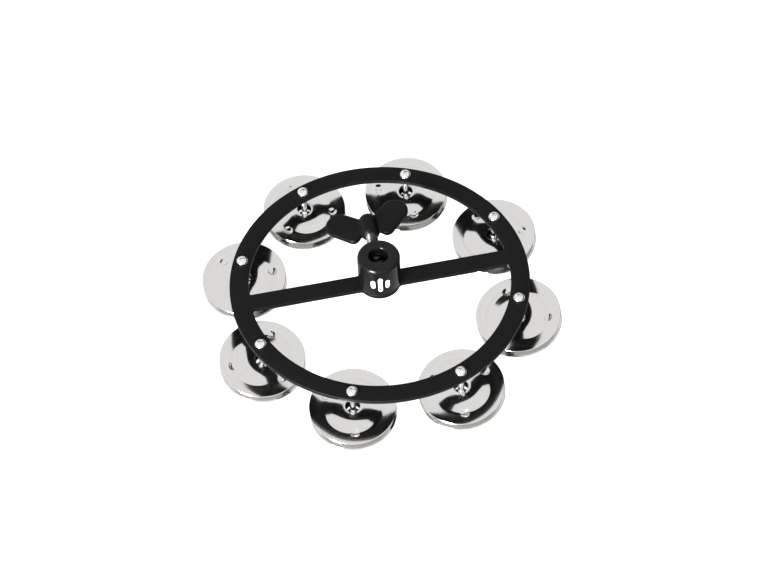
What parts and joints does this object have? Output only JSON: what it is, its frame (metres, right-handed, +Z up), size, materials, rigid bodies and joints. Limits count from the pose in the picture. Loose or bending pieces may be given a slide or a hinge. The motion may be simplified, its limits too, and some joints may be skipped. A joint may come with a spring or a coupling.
{
  "type": "hi-hat tambourine",
  "caption": "Flat black ring tambourine with a crossbar, a central rod clamp with a wing screw, and pairs of steel jingles hanging on screw pins.",
  "frame": {"origin": "on the axis of the rod bore, at the level of the surface that the pins' lower ends stand on", "axes": "+Z up along the rod bore, +X along the crossbar, +Y from the rod bore towards the wing screw"},
  "size_m": [0.1464, 0.1465, 0.0345],
  "materials": {
    "black_coat": "satin",
    "black_hub": "satin",
    "black_thread": "satin",
    "black_wing": "satin",
    "pin_steel": "polished",
    "black_nylon": "matte",
    "zinc_steel": "satin",
    "jingle_steel": "polished",
    "white_print": "matte"
  },
  "bodies": {
    "frame": {"ring_plate": "black_coat", "clamp_hub": "black_hub", "jingle_pin_1": "pin_steel", "jingle_pin_2": "pin_steel", "jingle_pin_3": "pin_steel", "jingle_pin_4": "pin_steel", "jingle_pin_5": "pin_steel", "jingle_pin_6": "pin_steel", "jingle_pin_7": "pin_steel", "jingle_pin_8": "pin_steel", "pin_washer_1": "black_nylon", "pin_washer_2": "black_nylon", "pin_washer_3": "black_nylon", "pin_washer_4": "black_nylon", "pin_washer_5": "black_nylon", "pin_washer_6": "black_nylon", "pin_washer_7": "black_nylon", "pin_washer_8": "black_nylon", "lock_nut_1": "zinc_steel", "lock_nut_2": "zinc_steel", "lock_nut_3": "zinc_steel", "lock_nut_4": "zinc_steel", "lock_nut_5": "zinc_steel", "lock_nut_6": "zinc_steel", "lock_nut_7": "zinc_steel", "lock_nut_8": "zinc_steel"},
    "screw_stud": {"wing_screw_stud": "black_thread"},
    "wing_head": {"wing_screw_head": "black_wing"},
    "lower_jingle_1": {"lower_jingle_1": "jingle_steel"},
    "upper_jingle_1": {"upper_jingle_1": "jingle_steel"},
    "lower_jingle_2": {"lower_jingle_2": "jingle_steel"},
    "upper_jingle_2": {"upper_jingle_2": "jingle_steel"},
    "lower_jingle_3": {"lower_jingle_3": "jingle_steel"},
    "upper_jingle_3": {"upper_jingle_3": "jingle_steel"},
    "lower_jingle_4": {"lower_jingle_4": "jingle_steel"},
    "upper_jingle_4": {"upper_jingle_4": "jingle_steel"},
    "lower_jingle_5": {"lower_jingle_5": "jingle_steel"},
    "upper_jingle_5": {"upper_jingle_5": "jingle_steel"},
    "lower_jingle_6": {"lower_jingle_6": "jingle_steel"},
    "upper_jingle_6": {"upper_jingle_6": "jingle_steel"},
    "lower_jingle_7": {"lower_jingle_7": "jingle_steel"},
    "upper_jingle_7": {"upper_jingle_7": "jingle_steel"},
    "lower_jingle_8": {"lower_jingle_8": "jingle_steel"},
    "upper_jingle_8": {"upper_jingle_8": "jingle_steel"}
  },
  "joints": [
    {"name": "screw_advance", "type": "slide", "parent": "frame", "child": "screw_stud", "axis": [0, -1, 0], "range_m": [-0.0017, 0.0025]},
    {"name": "wing_turn", "type": "hinge", "parent": "screw_stud", "child": "wing_head", "pos_m": [0, 0.02, 0.0285], "axis": [0, -1, 0], "range_deg": [-720, 1080]},
    {"name": "lower_slide_1", "type": "slide", "parent": "frame", "child": "lower_jingle_1", "axis": [0, 0, 1], "range_m": [0, 0.0023]},
    {"name": "upper_slide_1", "type": "slide", "parent": "lower_jingle_1", "child": "upper_jingle_1", "axis": [0, 0, 1], "range_m": [0, 0.0023]},
    {"name": "lower_slide_2", "type": "slide", "parent": "frame", "child": "lower_jingle_2", "axis": [0, 0, 1], "range_m": [0, 0.0023]},
    {"name": "upper_slide_2", "type": "slide", "parent": "lower_jingle_2", "child": "upper_jingle_2", "axis": [0, 0, 1], "range_m": [0, 0.0023]},
    {"name": "lower_slide_3", "type": "slide", "parent": "frame", "child": "lower_jingle_3", "axis": [0, 0, 1], "range_m": [0, 0.0023]},
    {"name": "upper_slide_3", "type": "slide", "parent": "lower_jingle_3", "child": "upper_jingle_3", "axis": [0, 0, 1], "range_m": [0, 0.0023]},
    {"name": "lower_slide_4", "type": "slide", "parent": "frame", "child": "lower_jingle_4", "axis": [0, 0, 1], "range_m": [0, 0.0023]},
    {"name": "upper_slide_4", "type": "slide", "parent": "lower_jingle_4", "child": "upper_jingle_4", "axis": [0, 0, 1], "range_m": [0, 0.0023]},
    {"name": "lower_slide_5", "type": "slide", "parent": "frame", "child": "lower_jingle_5", "axis": [0, 0, 1], "range_m": [0, 0.0023]},
    {"name": "upper_slide_5", "type": "slide", "parent": "lower_jingle_5", "child": "upper_jingle_5", "axis": [0, 0, 1], "range_m": [0, 0.0023]},
    {"name": "lower_slide_6", "type": "slide", "parent": "frame", "child": "lower_jingle_6", "axis": [0, 0, 1], "range_m": [0, 0.0023]},
    {"name": "upper_slide_6", "type": "slide", "parent": "lower_jingle_6", "child": "upper_jingle_6", "axis": [0, 0, 1], "range_m": [0, 0.0023]},
    {"name": "lower_slide_7", "type": "slide", "parent": "frame", "child": "lower_jingle_7", "axis": [0, 0, 1], "range_m": [0, 0.0023]},
    {"name": "upper_slide_7", "type": "slide", "parent": "lower_jingle_7", "child": "upper_jingle_7", "axis": [0, 0, 1], "range_m": [0, 0.0023]},
    {"name": "lower_slide_8", "type": "slide", "parent": "frame", "child": "lower_jingle_8", "axis": [0, 0, 1], "range_m": [0, 0.0023]},
    {"name": "upper_slide_8", "type": "slide", "parent": "lower_jingle_8", "child": "upper_jingle_8", "axis": [0, 0, 1], "range_m": [0, 0.0023]}
  ],
  "couplings": [
    {"joint": "screw_advance", "follows": "wing_turn", "m_per_rad": 0.00012732}
  ]
}
